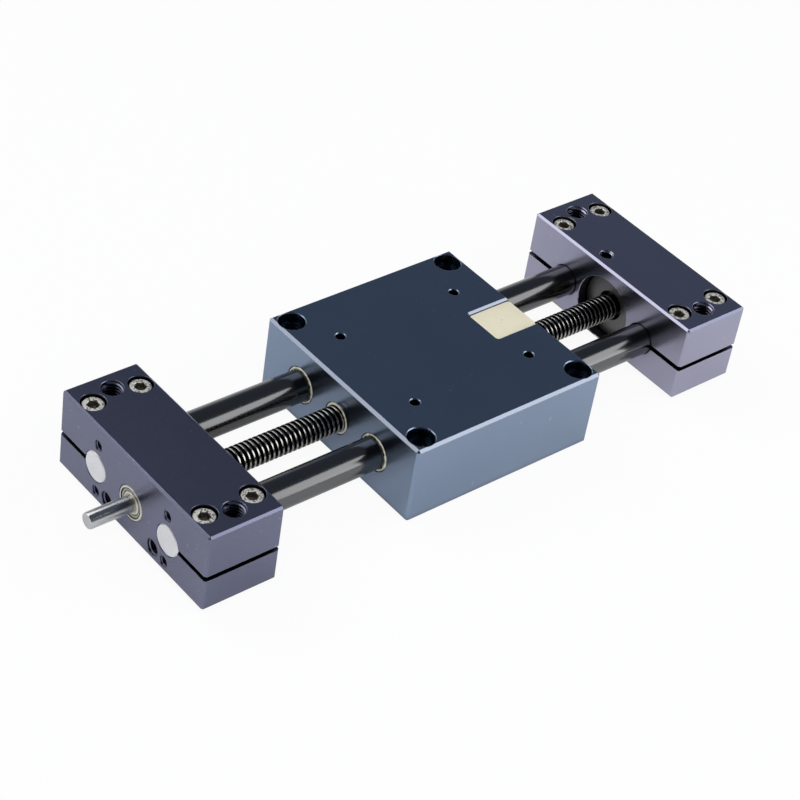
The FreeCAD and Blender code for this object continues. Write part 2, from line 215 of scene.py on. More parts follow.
def thread_ridge(axis, centre, start, length, radius, pitch, into):
    """The ridge that a tap leaves: a triangle screwed up the wall of its hole, out of which it grows."""
    bpy.ops.object.select_all(action="DESELECT")
    bpy.ops.mesh.primitive_circle_add(vertices=3, radius=0.5 * pitch, location=(radius, 0, 0),
                                      rotation=(math.pi / 2, 0, math.pi))
    ridge = bpy.context.object
    bpy.ops.object.transform_apply()
    bpy.ops.object.mode_set(mode="EDIT")
    bpy.ops.mesh.select_all(action="SELECT")
    bpy.ops.transform.rotate(value=math.pi / 2, orient_axis="Y", center_override=(radius, 0, 0))
    bpy.ops.object.mode_set(mode="OBJECT")
    winding = ridge.modifiers.new("winding", "SCREW")
    winding.axis = "Z"
    winding.steps = winding.render_steps = 28
    winding.screw_offset = pitch
    winding.iterations = max(1, int(length / pitch))
    bpy.ops.object.modifier_apply(modifier="winding")
    bpy.ops.object.mode_set(mode="EDIT")
    pick("VERT", lambda spot: abs(spot.y) < pitch * 0.01 and spot.x > 0 and spot.z < pitch * 0.5)
    run_in = 1 + 0.7 * pitch / radius
    bpy.ops.transform.resize(value=(run_in, run_in, 1), center_override=(0, 0, 0))
    bpy.ops.mesh.select_all(action="SELECT")
    bpy.ops.mesh.fill_holes(sides=3)
    close_outwards()
    along = Vector((axis == "X", 0, axis == "Z"))
    ridge.rotation_euler = (along * into).to_track_quat("Z", "X").to_euler()
    ridge.location = Vector(centre) * (Vector((1, 1, 1)) - along) + along * start
    bpy.ops.object.transform_apply()
    return ridge


def tapped(block, axis, centre, mouth, into, radius, pitch, depth, first_turn, rim=hole_rim):
    """Drills a blind hole in a block and gives back the ridge of its thread, which begins a little
    way in, to be joined to the block when all of its holes are cut."""
    cut(block, [hole(axis, centre, mouth, into, radius, depth, rim)])
    return thread_ridge(axis, centre, mouth + into * first_turn, depth - first_turn, radius, pitch, into)


def milled_block(name, low, high, bevel):
    """A block squared on the mill, with every edge broken."""
    block = slab(low, high)
    block.name = name
    bpy.ops.object.mode_set(mode="EDIT")
    bpy.ops.mesh.select_all(action="SELECT")
    bpy.ops.mesh.bevel(offset=bevel, segments=1)
    bpy.ops.object.mode_set(mode="OBJECT")
    return block


def split_block(name, low, high):
    """What both end blocks share: shaft bores, clamp slits, fixing holes with their threads, and
    counterbored clamp screw holes."""
    block = milled_block(name, low, high, edge_bevel)
    middle = (low.x + high.x) / 2
    ridges = []
    for side in (-1, 1):
        y = side * shaft_y
        edge = side * (high.y + overrun)
        bore = shaft_bore(y, low, high, shaft_radius)
        slit = slab((low.x - overrun, min(y, edge), axis_z - clamp_slit / 2),
                    (high.x + overrun, max(y, edge), axis_z + clamp_slit / 2))
        cut(block, [bore, slit])
        fixing = (middle, side * (high.y - fixing_inset), 0)
        ridges.append(tapped(block, "Z", fixing, high.z, -1, **fixing_thread))
        for end in (-1, 1):
            seat = (middle + end * clamp_pitch / 2, side * clamp_y, 0)
            cut(block, [
                hole("Z", seat, high.z, -1, clamp_counterbore_radius, high.z - clamp_seat,
                     rim=clamp_counterbore_rim, flat=True),
                turned("drill", "Z", seat, [
                    (high.z - overrun, clamp_drill_radius),
                    (low.z + clamp_drill_floor, clamp_drill_radius),
                ]),
            ])
    return block, ridges


def new_material(name):
    """A new material with its nodes, its shader and the place on the piece, which patterns follow."""
    material = bpy.data.materials.new(name)
    material.use_nodes = True
    tree = material.node_tree
    where = tree.nodes.new("ShaderNodeTexCoord").outputs["Object"]
    return material, tree, tree.nodes["Principled BSDF"], where


def noise(tree, where, scale, detail):
    """Cloudy noise, from 0 to 1."""
    clouds = tree.nodes.new("ShaderNodeTexNoise")
    clouds.inputs["Scale"].default_value = scale
    clouds.inputs["Detail"].default_value = detail
    tree.links.new(where, clouds.inputs["Vector"])
    return clouds.outputs["Fac"]


def stretch(tree, value, low, high, least=0, most=1, smooth=False):
    """Carries a value between low and high over to least and most, and holds it there past them."""
    span = tree.nodes.new("ShaderNodeMapRange")
    if smooth:
        span.interpolation_type = "SMOOTHSTEP"
    span.inputs["From Min"].default_value = low
    span.inputs["From Max"].default_value = high
    span.inputs["To Min"].default_value = least
    span.inputs["To Max"].default_value = most
    tree.links.new(value, span.inputs["Value"])
    return span.outputs["Result"]


def mixed(tree, share, first, second):
    """Blends two colours by the share of the second. Each is three numbers or comes from a node."""
    mix = tree.nodes.new("ShaderNodeMix")
    mix.data_type = "RGBA"
    tree.links.new(share, mix.inputs["Factor"])
    for place, colour in (("A", first), ("B", second)):
        if isinstance(colour, tuple):
            mix.inputs[place].default_value = (*colour, 1)
        else:
            tree.links.new(colour, mix.inputs[place])
    return mix.outputs["Result"]


def arithmetic(tree, operation, *values):
    """Works on values that are numbers or come from nodes."""
    sum_node = tree.nodes.new("ShaderNodeMath")
    sum_node.operation = operation
    for place, value in enumerate(values):
        if isinstance(value, float):
            sum_node.inputs[place].default_value = value
        else:
            tree.links.new(value, sum_node.inputs[place])
    return sum_node.outputs["Value"]


def openness(tree, reach):
    """How open each spot lies, from 0 deep in a gap to 1. The reach is how far it looks around."""
    nook = tree.nodes.new("ShaderNodeAmbientOcclusion")
    nook.samples = 8
    nook.inputs["Distance"].default_value = reach
    return nook.outputs["AO"]


def soft_edges(tree, radius):
    """The way the surface faces, as if every edge had a small radius."""
    soft = tree.nodes.new("ShaderNodeBevel")
    soft.samples = 6
    soft.inputs["Radius"].default_value = radius
    return soft.outputs["Normal"]


def raise_surface(tree, shader, height, strength, depth, edges=None):
    """Gives the surface a faint relief, on top of its soft edges if it has them."""
    bump = tree.nodes.new("ShaderNodeBump")
    bump.inputs["Strength"].default_value = strength
    bump.inputs["Distance"].default_value = depth
    tree.links.new(height, bump.inputs["Height"])
    if edges:
        tree.links.new(edges, bump.inputs["Normal"])
    tree.links.new(bump.outputs["Normal"], shader.inputs["Normal"])


def anodised(name, tint, sheen, roughness):
    """Anodised aluminium: satin metal under a clear oxide, cloudy at a scale of centimetres, with the faint
    grain of the milled and blasted surface. Edges are worn in places, down to bright metal, and holes, gaps
    and corners are painted near black, as painted shade."""
    bright_metal = (0.62, 0.62, 0.67)
    hollow_shade = (0.006, 0.006, 0.008)
    material, tree, shader, where = new_material(name)
    shader.inputs["Metallic"].default_value = 1.0
    oxide = mixed(tree, noise(tree, where, scale=45, detail=3), tint, sheen)
    edges = soft_edges(tree, radius=0.00018)
    facing = tree.nodes.new("ShaderNodeVectorMath")
    facing.operation = "DOT_PRODUCT"
    tree.links.new(edges, facing.inputs[0])
    tree.links.new(tree.nodes.new("ShaderNodeNewGeometry").outputs["Normal"], facing.inputs[1])
    near_edge = stretch(tree, facing.outputs["Value"], 0.995, 0.9, most=0.6)
    nicks = noise(tree, where, scale=420, detail=4)
    patches = stretch(tree, nicks, 0.5, 0.68)
    flaws = stretch(tree, nicks, 0.69, 0.75, most=0.4)
    wear = arithmetic(tree, "MULTIPLY_ADD", near_edge, patches, flaws)
    worn = mixed(tree, wear, oxide, bright_metal)
    # Holes, gaps and corners within the reach are painted near black, as painted shade.
    in_the_open = stretch(tree, openness(tree, reach=0.008), 0.22, 0.7)
    tree.links.new(mixed(tree, in_the_open, hollow_shade, worn), shader.inputs["Base Color"])
    grain = noise(tree, where, scale=3500, detail=2)
    uneven_gloss = stretch(tree, grain, 0, 1, roughness - 0.05, roughness + 0.05)
    tree.links.new(uneven_gloss, shader.inputs["Roughness"])
    raise_surface(tree, shader, grain, strength=0.08, depth=0.00002, edges=edges)
    return material


# The two end blocks carry the same anodising. The drive block's copy is painted darker and the support
# block's lighter, as painted shade and painted light, because the two are lit unevenly.
block_anodise = anodised("block_anodise", (0.173, 0.182, 0.260), (0.195, 0.203, 0.285), 0.29)
support_painted_light_anodise = anodised("support_block_painted_light_anodise", (0.345, 0.342, 0.449), (0.378, 0.374, 0.487), 0.21)

drive_block, drive_threads = split_block("drive_block", drive_low, drive_high)
drive_ring_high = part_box("drive_bearing_outer_ring")[1]
bearing_outside = drive_ring_high.z - axis_z
seat_clearance = 0.00001
flange_thread = {"radius": 0.002, "pitch": 0.0007, "depth": 0.010, "first_turn": 0.0004}
flange_y = 0.020
flange_rise = 0.010
foot_thread = {"radius": 0.003, "pitch": 0.001, "depth": 0.012, "first_turn": 0.0005}
foot_y = 0.0135
foot_drop = 0.009
cut(drive_block, [
    turned("bore", "X", on_axis, [
        (drive_low.x - overrun, bearing_outside + hole_rim + overrun),
        (drive_low.x + hole_rim, bearing_outside + seat_clearance),
        (drive_ring_high.x, bearing_outside + seat_clearance),
    ]),
    turned("bore", "X", on_axis, [
        (drive_ring_high.x - overrun, passage_radius),
        (drive_high.x - hole_rim, passage_radius),
        (drive_high.x + overrun, passage_radius + hole_rim + overrun),
    ]),
])
for side in (-1, 1):
    for up in (-1, 1):
        mouth = (0, side * flange_y, axis_z + up * flange_rise)
        drive_threads.append(tapped(drive_block, "X", mouth, drive_low.x, 1, **flange_thread))
    mouth = (0, side * foot_y, axis_z - foot_drop)
    drive_threads.append(tapped(drive_block, "X", mouth, drive_low.x, 1, **foot_thread))
finished(joined([drive_block, *drive_threads]), block_anodise, "base", "block_anodise", "drive_end_block")

cover_low, cover_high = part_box("bearing_cover_ring")
cover_radius = (cover_high.z - cover_low.z) / 2
pocket_radius = cover_radius + 0.00005
far_ring_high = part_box("support_bearing_outer_ring")[1]
far_seat_radius = far_ring_high.z - axis_z + seat_clearance
tail_pocket_radius = 0.0065
tail_pocket_room = 0.0015
support_block, support_threads = split_block("support_block", support_low, support_high)
cut(support_block, [turned("bore", "X", on_axis, [
    (support_low.x - overrun, pocket_radius + fine_rim + overrun),
    (support_low.x + fine_rim, pocket_radius),
    (cover_high.x, pocket_radius),
    (cover_high.x, far_seat_radius),
    (far_ring_high.x, far_seat_radius),
    (far_ring_high.x, tail_pocket_radius),
    (screw_high.x + tail_pocket_room, tail_pocket_radius),
])])
lock_low, lock_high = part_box("cover_lock_screw")
lock_middle = (lock_low + lock_high) / 2
lock_radius = 0.0025
lock_pitch = 0.0008
lock_hole_radius = lock_radius + 0.00002
lock_first_turn = 0.0005
lock_free_thread = 0.0015
cut(support_block, [
    hole("Z", lock_middle, support_high.z, -1, lock_hole_radius, support_high.z - axis_z, flat=True),
])
support_threads.append(thread_ridge("Z", lock_middle, support_high.z - lock_first_turn, lock_free_thread,
                                    lock_radius, lock_pitch, -1))
finished(joined([support_block, *support_threads]), support_painted_light_anodise, "base", "block_anodise",
         "support_end_block")

# The cover's pocket is painted dark, as painted shade. The bevels along the top's two short edges catch less
# light than the block's faces do, so they are painted with the drive block's darker shade, as painted shade.
pocket_shade_anodise = anodised("pocket_shade_anodise", (0.040, 0.040, 0.050), (0.052, 0.052, 0.062), 0.35)
support_block.data.materials.append(pocket_shade_anodise)
support_block.data.materials.append(block_anodise)
for face in support_block.data.polygons:
    off_axis = (face.center - Vector(on_axis)).yz.length
    if support_low.x + hair < face.center.x < cover_high.x and off_axis < pocket_radius + hair:
        face.material_index = 1
    if abs(face.normal.y) > 0.5 and face.normal.z > 0.5 and face.center.z > support_high.z - edge_bevel:
        face.material_index = 2

# The guide shafts are drawn aluminium, ground and hard anodised almost black. They are sawn to
# length after that, so their chamfered ends are bare metal, level with the blocks' outer faces.


def shaded(tree, clouds, colour, darker, lighter):
    """A colour that drifts between a darker and a lighter shade of itself."""
    return mixed(tree, clouds, tuple(channel * darker for channel in colour),
                 tuple(min(1, channel * lighter) for channel in colour))


def plain_metal(name, colour, roughness, grain_scale=2500, grain_depth=0.1, metallic=1.0, lay=(1, 1, 1),
                painted_shade_colour=None, painted_shade_reach=0.002):
    """Bare metal with a fine grain in its gloss and a slightly clouded colour. The grain is drawn out across
    the lay of the tool, and corners and sockets may be painted dark, as painted shade."""
    material, tree, shader, where = new_material(name)
    shader.inputs["Metallic"].default_value = metallic
    surface = shaded(tree, noise(tree, where, scale=180, detail=4), colour, darker=0.86, lighter=1.12)
    # Corners and sockets within the reach are painted dark, as painted shade.
    if painted_shade_colour:
        in_the_open = stretch(tree, openness(tree, painted_shade_reach), 0.35, 0.85)
        surface = mixed(tree, in_the_open, painted_shade_colour, surface)
    tree.links.new(surface, shader.inputs["Base Color"])
    drawn = tree.nodes.new("ShaderNodeMapping")
    drawn.inputs["Scale"].default_value = lay
    tree.links.new(where, drawn.inputs["Vector"])
    grain = noise(tree, drawn.outputs["Vector"], grain_scale, detail=3)
    uneven_gloss = stretch(tree, grain, 0, 1, roughness * 0.75, roughness * 1.25)
    tree.links.new(uneven_gloss, shader.inputs["Roughness"])
    raise_surface(tree, shader, grain, strength=grain_depth, depth=0.00001)
    return material


shaft_black = plain_metal("shaft_hard_anodise", (0.0015, 0.0013, 0.001), 0.16, metallic=0.0)
shaft_black.node_tree.nodes["Principled BSDF"].inputs["IOR"].default_value = 2.15
bare_end = plain_metal("sawn_aluminium", (0.95, 0.95, 0.94), 0.5, grain_scale=1200, grain_depth=0.25)
shaft_chamfer = 0.0005
for side, label in ((1, "left"), (-1, "right")):
    shaft = turned(f"shaft_{label}", "X", (0, side * shaft_y, axis_z), [
        (shaft_low.x, shaft_radius - shaft_chamfer),
        (shaft_low.x + shaft_chamfer, shaft_radius),
        (shaft_high.x - shaft_chamfer, shaft_radius),
        (shaft_high.x, shaft_radius - shaft_chamfer),
    ], sides=128)
    finished(shaft, shaft_black, "base", "shaft_anodise", f"guide_shaft_{label}")
    shaft.data.materials.append(bare_end)
    for face in shaft.data.polygons:
        if not shaft_low.x + shaft_chamfer < face.center.x < shaft_high.x - shaft_chamfer:
            face.material_index = 1

# The clamp screws are stainless steel socket head screws, cold headed with a knurled rim and a
# punched hexagon, and thread rolled. Four in each block pull the split shut round the shafts.
weld = 0.000001


def threaded(name, centre, low, high, crest, root, pitch, steps=32):
    """A rod with a rolled trapezoidal thread along X: one pitch of outline, screwed along the rod,
    its turns welded together in a sharp edge and its ends sawn off square."""
    slope = (crest - root) * 0.27
    land = 0.22 * pitch
    corner = 0.06 * pitch
    crest_edge = crest - 0.5 * corner
    outline = [(0, crest), (land, crest), (land + corner, crest_edge), (land + corner + slope, root),
               (pitch - corner - slope, root), (pitch - corner, crest_edge), (pitch, crest)]
    bpy.ops.object.select_all(action="DESELECT")
    bpy.ops.mesh.primitive_plane_add(size=pitch, location=(0, 0, crest))
    rod = bpy.context.object
    rod.name = name
    bpy.ops.object.transform_apply()
    bpy.ops.object.mode_set(mode="EDIT")
    bpy.ops.mesh.select_all(action="SELECT")
    bpy.ops.mesh.merge(type="CENTER")
    place, height = outline[0]
    for next_place, next_height in outline[1:]:
        step = (next_place - place, 0, next_height - height)
        bpy.ops.mesh.extrude_region_move(TRANSFORM_OT_translate={"value": step})
        place, height = next_place, next_height
    bpy.ops.object.mode_set(mode="OBJECT")
    winding = rod.modifiers.new("winding", "SCREW")
    winding.axis = "X"
    winding.steps = winding.render_steps = steps
    winding.screw_offset = pitch
    winding.iterations = math.ceil((high - low) / pitch) + 2
    bpy.ops.object.modifier_apply(modifier="winding")
    rod.location = Vector((low - pitch * 1.5, centre[1], centre[2]))
    bpy.ops.object.transform_apply()
    bpy.ops.object.mode_set(mode="EDIT")
    bpy.ops.mesh.select_all(action="DESELECT")
    bpy.ops.mesh.select_non_manifold()
    bpy.ops.mesh.mark_sharp()
    bpy.ops.mesh.select_all(action="SELECT")
    bpy.ops.mesh.remove_doubles(threshold=weld)
    for place, away in ((low, -1), (high, 1)):
        bpy.ops.mesh.select_all(action="SELECT")
        bpy.ops.mesh.bisect(plane_co=(place, 0, 0), plane_no=(away, 0, 0), use_fill=True, clear_outer=True,
                            threshold=weld)
    close_outwards()
    return rod


def stood_up(rod):
    """Turns a rod that lies along X so that it stands along Z."""
    rod.rotation_euler = (0, -math.pi / 2, 0)
    alone(rod)
    bpy.ops.object.transform_apply()
    return rod


def socket_screw(name, head_radius, head_height, key, shank_radius, shank_length, pitch):
    """A socket head screw at the origin, with its head on top and its seat at height 0."""
    flutes = 96
    flute_step = 2 * math.pi / flutes
    flute_floor = 0.95
    bpy.ops.object.select_all(action="DESELECT")
    bpy.ops.mesh.primitive_cylinder_add(vertices=flutes, radius=head_radius, depth=head_height,
                                        location=(0, 0, head_height / 2))
    head = bpy.context.object
    head.name = name
    bpy.ops.object.transform_apply()
    bpy.ops.object.mode_set(mode="EDIT")
    pick("EDGE", lambda spot: spot.z > head_height * 0.99 and spot.xy.length > head_radius * 0.97)
    bpy.ops.mesh.bevel(offset=head_radius * 0.2, segments=4)
    pick("VERT", lambda spot: 0 < spot.z < head_height * 0.98 and spot.xy.length > head_radius * 0.9
         and round(math.atan2(spot.y, spot.x) / flute_step) % 2 == 0)
    bpy.ops.transform.resize(value=(flute_floor, flute_floor, 1), center_override=(0, 0, 0))
    bpy.ops.object.mode_set(mode="OBJECT")
    corner = key / math.sqrt(3)
    socket_floor = head_height * 0.5
    hexagon = turned("broach", "Z", (0, 0, 0), [
        (head_height + overrun, corner),
        (socket_floor, corner),
        (socket_floor - corner * 0.35, corner * 0.02),
    ], sides=6)
    mouth = turned("broach", "Z", (0, 0, 0), [
        (head_height + overrun, corner + overrun),
        (head_height - corner * 0.1, corner * 0.9),
    ], sides=48)
    cut(head, [hexagon, mouth])
    bpy.ops.object.mode_set(mode="EDIT")
    bpy.ops.mesh.select_all(action="SELECT")
    bpy.ops.mesh.remove_doubles(threshold=weld)
    bpy.ops.object.mode_set(mode="OBJECT")
    shank_root = shank_radius - 0.54 * pitch
    shank = threaded("shank", (0, 0, 0), -shank_length, 0, shank_radius, shank_root, pitch, steps=24)
    return joined([head, stood_up(shank)])


def driven_in(pattern, name, seat, outward):
    """A copy of a screw, with its own mesh, driven down to its seat."""
    alone(pattern)
    bpy.ops.object.duplicate()
    screw = bpy.context.object
    screw.name = name
    screw.rotation_euler = Vector(outward).to_track_quat("Z", "X").to_euler()
    screw.location = seat
    bpy.ops.object.transform_apply()
    return screw


def overlay(material, share, colour):
    """Lays another colour over a finished material, by a share that comes from a node."""
    tree = material.node_tree
    base_colour = tree.nodes["Principled BSDF"].inputs["Base Color"]
    tree.links.new(mixed(tree, share, base_colour.links[0].from_socket, colour), base_colour)


# The stainless steel is painted dark in the screws' sockets and in the gaps round their heads, as painted
# shade.
stainless = plain_metal("stainless_steel", (0.88, 0.865, 0.81), 0.38, grain_scale=2600, grain_depth=1.0,
                        metallic=0.5, painted_shade_colour=(0.045, 0.037, 0.026), painted_shade_reach=0.005)
tree = stainless.node_tree
pits = noise(tree, tree.nodes["Texture Coordinate"].outputs["Object"], scale=1400, detail=3)
overlay(stainless, stretch(tree, pits, 0.5, 0.58, most=0.9), (0.16, 0.145, 0.115))
clamp_pattern = socket_screw("clamp_pattern", clamp_head_radius, clamp_head_height, key=0.004,
                             shank_radius=0.0025, shank_length=0.020, pitch=0.0008)
for end, low, high in (("drive", drive_low, drive_high), ("support", support_low, support_high)):
    for number, (along, side) in enumerate(((-1, -1), (-1, 1), (1, -1), (1, 1)), 1):
        seat = ((low.x + high.x) / 2 + along * clamp_pitch / 2, side * clamp_y, clamp_seat)
        screw = driven_in(clamp_pattern, f"{end}_clamp_screw_{number}", seat, (0, 0, 1))
        finished(screw, stainless, "base", "stainless_steel", f"{end}_end_clamp_screws", angle=24)
bpy.data.objects.remove(clamp_pattern)

# The ball bearings are ground from bearing steel, with balls in a snapped ribbon cage and a
# pressed shield on each side. One sits flush round the journal, the other behind the cover ring.


def refinished(name, material):
    """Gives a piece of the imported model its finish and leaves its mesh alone."""
    nodes[name].data.materials.clear()
    nodes[name].data.materials.append(material)


# The bearing steels are painted near black in the gaps between rings, shields and balls, as painted shade.
bearing_gap_shade = (0.01, 0.01, 0.008)
bearing_steel = plain_metal("bearing_steel", (0.82, 0.80, 0.69), 0.30, metallic=0.7, painted_shade_colour=bearing_gap_shade)
shield_steel = plain_metal("shield_steel", (0.46, 0.45, 0.385), 0.36, metallic=0.8, painted_shade_colour=bearing_gap_shade)
cage_steel = plain_metal("cage_steel", (0.28, 0.27, 0.25), 0.4)
shield_plate = 0.0003
shield_gap = 0.00015
for end in ("drive", "support"):
    for part in ("outer_ring", "inner_ring", "balls"):
        refinished(f"{end}_bearing_{part}", bearing_steel)
    refinished(f"{end}_bearing_cage", cage_steel)
    ring_low, ring_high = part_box(f"{end}_bearing_shields")
    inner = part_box(f"{end}_bearing_inner_ring")[1].z - axis_z + shield_gap
    outer = ring_high.z - axis_z
    band = outer - inner
    for number, (face, into) in enumerate(((ring_low.x, 1), (ring_high.x, -1)), 1):
        groove = face + into * shield_plate * 0.9
        lip = face + into * shield_plate * 0.7
        back = face + into * shield_plate
        shield = turned(f"{end}_shield_{number}", "X", on_axis, [
            (face, outer),
            (face, outer - band * 0.03),
            (groove, outer - band * 0.05),
            (groove, outer - band * 0.38),
            (face, outer - band * 0.43),
            (face, inner + band * 0.2),
            (lip, inner + band * 0.06),
            (lip, inner),
            (back, inner),
            (back, outer),
        ], hollow=True)
        finished(shield, shield_steel, "base", "shield_steel", f"{end}_bearing_shields")

# The cover ring is turned from aluminium and anodised dark grey. It closes the support block's
# pocket over the bearing, and a short black grub screw in the block's top locks it there.
cover_grey = anodised("cover_anodise", (0.200, 0.197, 0.200), (0.222, 0.220, 0.221), 0.42)
cover_bevel = 0.0004
cover_back_bevel = 0.0003
cover = turned("cover_ring", "X", on_axis, [
    (cover_low.x, passage_radius + cover_bevel),
    (cover_low.x, cover_radius - cover_bevel),
    (cover_low.x + cover_bevel, cover_radius),
    (cover_high.x - cover_back_bevel, cover_radius),
    (cover_high.x, cover_radius - cover_back_bevel),
    (cover_high.x, passage_radius),
    (cover_low.x + cover_bevel, passage_radius),
], hollow=True)
finished(cover, cover_grey, "base", "cover_anodise", "bearing_cover_ring")

black_steel = plain_metal("blackened_steel", (0.035, 0.035, 0.036), 0.35)
lock_length = lock_high.z - lock_low.z
lock_root = 0.0021
lock_point = 0.0005
lock_point_radius = 0.0018
lock_socket_radius = 0.00144
lock_socket_floor = 0.002
grub = stood_up(threaded("grub", (0, 0, 0), lock_point, lock_length, lock_radius, lock_root, lock_pitch,
                         steps=24))
point = turned("point", "Z", (0, 0, 0), [
    (0, lock_point_radius),
    (lock_point + hair, lock_root + hair),
], sides=48)
grub = joined([grub, point])
grub.name = "cover_lock_screw_set"
cut(grub, [turned("broach", "Z", (0, 0, 0), [
    (lock_length + overrun, lock_socket_radius),
    (lock_socket_floor, lock_socket_radius),
    (lock_socket_floor * 0.8, hair),
], sides=6)])
grub.location = (lock_middle.x, lock_middle.y, lock_low.z)
alone(grub)
bpy.ops.object.transform_apply()
finished(grub, black_steel, "base", "stainless_steel", "cover_lock_screw", angle=24)

# The lead screw is steel with a rolled trapezoidal thread, coloured dark brown below a bright band at its
# crests. Both journals are turned and ground.
brown_below = screw_radius - 0.00022
bright_above = screw_radius - 0.00011
screw_steel = plain_metal("rolled_screw_steel", (0.040, 0.037, 0.032), 0.22)
tree = screw_steel.node_tree
outwards = tree.nodes.new("ShaderNodeVectorMath")
outwards.operation = "MULTIPLY_ADD"
outwards.inputs[1].default_value = (0, 1, 1)
outwards.inputs[2].default_value = (0, 0, -axis_z)
tree.links.new(tree.nodes["Texture Coordinate"].outputs["Object"], outwards.inputs[0])
off_axis = tree.nodes.new("ShaderNodeVectorMath")
off_axis.operation = "LENGTH"
tree.links.new(outwards.outputs["Vector"], off_axis.inputs[0])
crests = stretch(tree, off_axis.outputs["Value"], brown_below, bright_above)
overlay(screw_steel, crests, (0.50, 0.485, 0.45))

ground_steel = plain_metal("ground_journal_steel", (0.60, 0.60, 0.59), 0.20, grain_scale=7000,
                           lay=(1, 0.05, 0.05))
tree = ground_steel.node_tree
shader = tree.nodes["Principled BSDF"]
shader.inputs["Anisotropic"].default_value = 0.96
shader.inputs["Anisotropic Rotation"].default_value = 0.25
around = tree.nodes.new("ShaderNodeTangent")
around.direction_type = "RADIAL"
around.axis = "X"
tree.links.new(around.outputs["Tangent"], shader.inputs["Tangent"])

lap = 0.0002
thread_lead = 0.002
thread_root = 0.00385
thread_start = drive_ring_high.x + 0.003
thread_end = cover_low.x - 0.0010
thread = threaded("lead_screw_thread", on_axis, thread_start, thread_end, screw_radius, thread_root,
                  thread_lead)
finished(thread, screw_steel, "screw", "screw_steel", "lead_screw", angle=35)

neck_radius = 0.0036
neck_taper = 0.0004
run_out = turned("lead_screw_run_out", "X", on_axis, [
    (thread_end - lap, neck_radius),
    (cover_high.x - neck_taper, neck_radius),
    (cover_high.x, neck_radius - neck_taper / 2),
])
finished(run_out, screw_steel, "screw", "screw_steel", "lead_screw")

journal_radius = 0.003
break_edge = 0.0006
relief_width = 0.0006
relief_depth = 0.0002
journal = turned("drive_journal", "X", on_axis, [
    (screw_low.x, journal_radius - break_edge),
    (screw_low.x + break_edge * 0.2, journal_radius - break_edge * 0.35),
    (screw_low.x + break_edge, journal_radius),
    (drive_low.x, journal_radius),
    (drive_low.x, journal_radius - relief_depth),
    (drive_low.x + relief_width, journal_radius - relief_depth),
    (drive_low.x + relief_width, journal_radius),
    (thread_start + lap, journal_radius),
])
finished(journal, ground_steel, "screw", "screw_steel", "lead_screw")

tail_radius = 0.0035
clip_groove_width = 0.0008
clip_groove_depth = 0.00015
tail = turned("tail_journal", "X", on_axis, [
    (cover_high.x - lap, tail_radius),
    (far_ring_high.x, tail_radius),
    (far_ring_high.x, tail_radius - clip_groove_depth),
    (far_ring_high.x + clip_groove_width, tail_radius - clip_groove_depth),
    (far_ring_high.x + clip_groove_width, tail_radius),
    (screw_high.x - break_edge, tail_radius),
    (screw_high.x, tail_radius - break_edge),
])
finished(tail, ground_steel, "screw", "screw_steel", "lead_screw")
refinished("screw_circlip", cage_steel)

# The carriage is a square aluminium plate as thick as the blocks, milled all over and anodised a
# bluer shade. It is bored right through for the shafts' liners and the screw, counterbored at its
# corners, and slotted from one face for the nut.
carriage_low, carriage_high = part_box("carriage_block")
nut_low, nut_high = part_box("lead_screw_nut")
liner_low, liner_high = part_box("shaft_liner_left_drive")
guide_low, guide_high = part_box("screw_guide_liner")
liner_radius = (liner_high.y - liner_low.y) / 2
guide_radius = (guide_high.z - guide_low.z) / 2
carriage_bevel = 0.0010
carriage_anodise = anodised("carriage_anodise", (0.232, 0.297, 0.405), (0.256, 0.328, 0.442), 0.23)
carriage = milled_block("carriage", carriage_low, carriage_high, carriage_bevel)

# The slot is cut plain, and then its rim is flared by a second cutter that is wider at its top.
slot_half = nut_high.y + hair
slot_start = nut_low.x - hair
slot_corner = 0.0012
slot_rim = 0.0008
slot_rim_over = 0.0002
flare = slot_rim + slot_rim_over
slot_cutters = []
for bottom, top in ((nut_low.z - hair, carriage_high.z + overrun),
                    (carriage_high.z - slot_rim, carriage_high.z + slot_rim_over)):
    cutter = slab((slot_start, -slot_half, bottom), (carriage_high.x + overrun, slot_half, top))
    bpy.ops.object.mode_set(mode="EDIT")
    pick("EDGE", lambda spot: spot.x < slot_start + hair and abs(spot.y) > slot_half * 0.9)
    bpy.ops.mesh.bevel(offset=slot_corner, segments=6)
    bpy.ops.object.mode_set(mode="OBJECT")
    slot_cutters.append(cutter)
bpy.ops.object.mode_set(mode="EDIT")
pick("FACE", lambda spot: spot.z > carriage_high.z + hair)
bpy.ops.transform.translate(value=(-flare / 2, 0, 0))
bpy.ops.transform.resize(value=(1, (slot_half + flare) / slot_half, 1))
bpy.ops.object.mode_set(mode="OBJECT")
cut(carriage, slot_cutters)

cut(carriage, [
    hole("X", on_axis, carriage_low.x, 1, guide_radius, guide_high.x - guide_low.x, flat=True),
    turned("bore", "X", on_axis, [
        (guide_high.x - overrun, passage_radius),
        (slot_start + overrun, passage_radius),
    ]),
])
lug_x = (liner_high.x + liner_low.x) / -2
lug_radius = 0.0018
lug_depth = 0.012
corner_inset = 0.006
corner_counterbore_radius = 0.005
corner_counterbore_depth = 0.006
corner_drill_radius = 0.00275
for side in (-1, 1):
    cut(carriage, [shaft_bore(side * shaft_y, carriage_low, carriage_high, liner_radius)])
    for end in (-1, 1):
        lug = (end * lug_x, side * shaft_y, 0)
        cut(carriage, [hole("Z", lug, carriage_high.z, -1, lug_radius, lug_depth, flat=True)])
        corner = (end * (carriage_high.x - corner_inset), side * (carriage_high.y - corner_inset), 0)
        cut(carriage, [
            hole("Z", corner, carriage_high.z, -1, corner_counterbore_radius, corner_counterbore_depth,
                 flat=True),
            turned("drill", "Z", corner, [
                (carriage_high.z - corner_counterbore_depth + overrun, corner_drill_radius),
                (carriage_low.z + hole_rim, corner_drill_radius),
                (carriage_low.z - overrun, corner_drill_radius + hole_rim + overrun),
            ], sides=64),
        ])
finished(carriage, carriage_anodise, "carriage", "carriage_anodise", "carriage_block")
